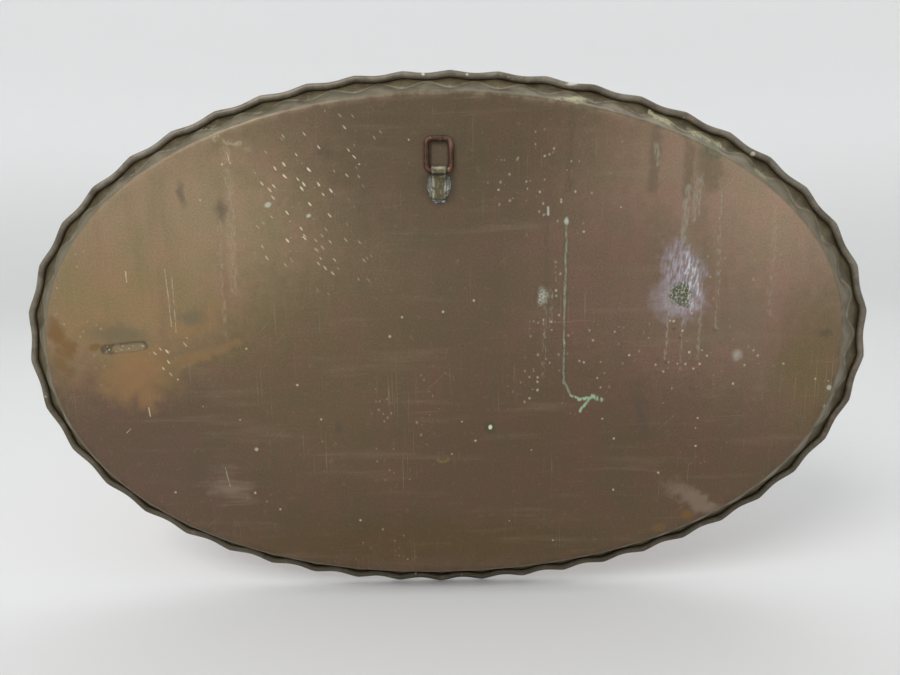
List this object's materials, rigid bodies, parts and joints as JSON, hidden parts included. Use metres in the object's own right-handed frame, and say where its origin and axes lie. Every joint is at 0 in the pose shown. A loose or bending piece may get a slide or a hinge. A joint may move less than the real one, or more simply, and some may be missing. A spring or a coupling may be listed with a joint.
{
  "type": "oval serving tray",
  "caption": "Large oval copper tray with a flat base, a flared fluted wall, a wired rolled rim and a soldered swinging wire bail on its back for hanging.",
  "frame": {"origin": "on the flat back face, at the middle of the oval rim's outline", "axes": "+X along the oval's length, to the right when the back is looked at; +Z across it, towards the hanging bail; -Y is the outward normal of the back face, and the dish opens towards +Y"},
  "size_m": [0.8577, 0.0408, 0.5301],
  "materials": {
    "aged_copper": "brown patina over copper, satin, with verdigris runs and stains",
    "iron_wire": "dull iron wire hidden in the rolled rim",
    "strap_brass": "dull olive-brown brass strip",
    "bail_copper": "red-brown tarnished wire",
    "solder": "bright to blue-grey soft solder"
  },
  "bodies": {
    "tray": {"tray_sheet": "aged_copper", "rim_wire": "iron_wire", "hanger_strap": "strap_brass", "solder_left": "solder", "solder_right": "solder", "solder_toe": "solder"},
    "bail": {"hanger_bail": "bail_copper"}
  },
  "joints": [
    {"name": "bail_swing", "type": "hinge", "parent": "tray", "child": "bail", "pos_m": [-0.007, -0.0045, 0.169], "axis": [1, 0, 0], "range_deg": [0, 180]}
  ]
}
